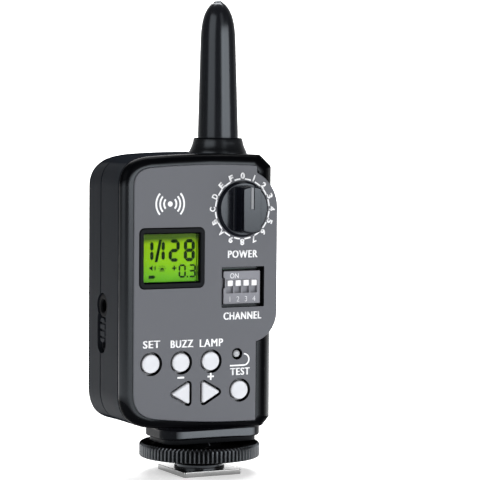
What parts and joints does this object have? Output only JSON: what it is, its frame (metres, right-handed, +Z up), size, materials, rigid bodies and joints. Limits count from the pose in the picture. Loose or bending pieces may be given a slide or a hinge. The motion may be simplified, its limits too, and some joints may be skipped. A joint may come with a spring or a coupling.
{
  "type": "wireless flash trigger",
  "caption": "Handheld radio trigger for studio flash: grey control panel with dial, display and buttons, stub antenna on top, hot-shoe foot with knurled lock ring below.",
  "frame": {"origin": "centre of the hot-shoe foot's bottom face, on the axis of the stud and lock ring", "axes": "+Z up towards the antenna, -Y out of the control panel, +X to the right as the panel is read"},
  "size_m": [0.0484, 0.0373, 0.1359],
  "materials": {
    "panel_grey": "satin, slightly metallic grey film on the control face",
    "cover_black": "satin black moulding",
    "shell_charcoal": "fine-textured charcoal moulding",
    "antenna_black": "semi-gloss black sleeve",
    "knob_black": "gloss black",
    "ring_black": "black anodised, knurled",
    "foot_nickel": "bright nickel plate",
    "stud_steel": "plain steel",
    "contact_brass": "plated contact",
    "insulator_black": "black moulding",
    "display_glass": "clear window",
    "display_green": "lit green-yellow display",
    "switch_grey": "grey switch body",
    "switch_white": "white slider",
    "button_white": "white, slightly domed",
    "led_clear": "clear lens",
    "board_green": "solder-masked board",
    "cell_skin": "plain cell wrapper"
  },
  "bodies": {
    "housing": {"front_panel": "panel_grey", "front_cover": "cover_black", "shoe_pedestal": "cover_black", "antenna_collar": "cover_black", "lcd_frame": "cover_black", "mid_shell": "shell_charcoal", "rear_cover": "shell_charcoal", "antenna_sleeve": "antenna_black", "shoe_stud": "ring_black", "shoe_foot": "foot_nickel", "case_screw_1": "stud_steel", "case_screw_2": "stud_steel", "case_screw_3": "stud_steel", "case_screw_4": "stud_steel", "radio_shield": "stud_steel", "contact_spring_1": "stud_steel", "contact_spring_2": "stud_steel", "contact_strip": "stud_steel", "contact_pin": "contact_brass", "antenna_core": "contact_brass", "contact_sleeve": "insulator_black", "side_plate": "insulator_black", "sync_jack": "insulator_black", "battery_tray": "insulator_black", "rotary_switch": "insulator_black", "buzzer": "insulator_black", "tact_switch_set": "insulator_black", "tact_switch_buzz": "insulator_black", "tact_switch_lamp": "insulator_black", "tact_switch_test": "insulator_black", "tact_switch_minus": "insulator_black", "tact_switch_plus": "insulator_black", "lcd_glass": "display_glass", "lcd_backlight": "display_green", "dip_body": "switch_grey", "status_led": "led_clear", "main_board": "board_green", "cell_1": "cell_skin", "cell_2": "cell_skin"},
    "button_set": {"button_set": "button_white"},
    "button_buzz": {"button_buzz": "button_white"},
    "button_lamp": {"button_lamp": "button_white"},
    "button_test": {"button_test": "button_white"},
    "button_minus": {"button_minus": "button_white"},
    "button_plus": {"button_plus": "button_white"},
    "dip_slider_1": {"dip_slider_1": "switch_white"},
    "dip_slider_2": {"dip_slider_2": "switch_white"},
    "dip_slider_3": {"dip_slider_3": "switch_white"},
    "dip_slider_4": {"dip_slider_4": "switch_white"},
    "dial": {"dial_knob": "knob_black"},
    "power_slider": {"power_slider": "insulator_black"},
    "battery_door": {"battery_door": "shell_charcoal"},
    "clamp": {"clamp_washer": "ring_black"},
    "ring": {"lock_ring": "ring_black"}
  },
  "joints": [
    {"name": "set_press", "type": "slide", "parent": "housing", "child": "button_set", "axis": [0, 1, 0], "range_m": [0, 0.0005], "stiffness_N_per_m": 400, "springref_m": -0.0003},
    {"name": "buzz_press", "type": "slide", "parent": "housing", "child": "button_buzz", "axis": [0, 1, 0], "range_m": [0, 0.0005], "stiffness_N_per_m": 400, "springref_m": -0.0003},
    {"name": "lamp_press", "type": "slide", "parent": "housing", "child": "button_lamp", "axis": [0, 1, 0], "range_m": [0, 0.0005], "stiffness_N_per_m": 400, "springref_m": -0.0003},
    {"name": "test_press", "type": "slide", "parent": "housing", "child": "button_test", "axis": [0, 1, 0], "range_m": [0, 0.0005], "stiffness_N_per_m": 400, "springref_m": -0.0003},
    {"name": "minus_press", "type": "slide", "parent": "housing", "child": "button_minus", "axis": [0, 1, 0], "range_m": [0, 0.0005], "stiffness_N_per_m": 400, "springref_m": -0.0003},
    {"name": "plus_press", "type": "slide", "parent": "housing", "child": "button_plus", "axis": [0, 1, 0], "range_m": [0, 0.0005], "stiffness_N_per_m": 400, "springref_m": -0.0003},
    {"name": "channel_1", "type": "slide", "parent": "housing", "child": "dip_slider_1", "axis": [0, 0, -1], "range_m": [0, 0.0019]},
    {"name": "channel_2", "type": "slide", "parent": "housing", "child": "dip_slider_2", "axis": [0, 0, -1], "range_m": [0, 0.0019]},
    {"name": "channel_3", "type": "slide", "parent": "housing", "child": "dip_slider_3", "axis": [0, 0, -1], "range_m": [0, 0.0019]},
    {"name": "channel_4", "type": "slide", "parent": "housing", "child": "dip_slider_4", "axis": [0, 0, -1], "range_m": [0, 0.0019]},
    {"name": "dial_turn", "type": "hinge", "parent": "housing", "child": "dial", "pos_m": [0.0066, -0.0135, 0.0767], "axis": [0, 1, 0], "continuous": true},
    {"name": "power_slide", "type": "slide", "parent": "housing", "child": "power_slider", "axis": [0, 0, -1], "range_m": [0, 0.0016]},
    {"name": "door_slide", "type": "slide", "parent": "housing", "child": "battery_door", "axis": [0, 0, -1], "range_m": [0, 0.0045]},
    {"name": "clamp_travel", "type": "slide", "parent": "housing", "child": "clamp", "axis": [0, 0, -1], "range_m": [0, 0.0016]},
    {"name": "ring_turn", "type": "hinge", "parent": "clamp", "child": "ring", "pos_m": [0, 0, 0.0068], "axis": [0, 0, -1], "range_deg": [0, 460]}
  ],
  "couplings": [
    {"joint": "ring_turn", "follows": "clamp_travel", "rad_per_m": 5015}
  ]
}
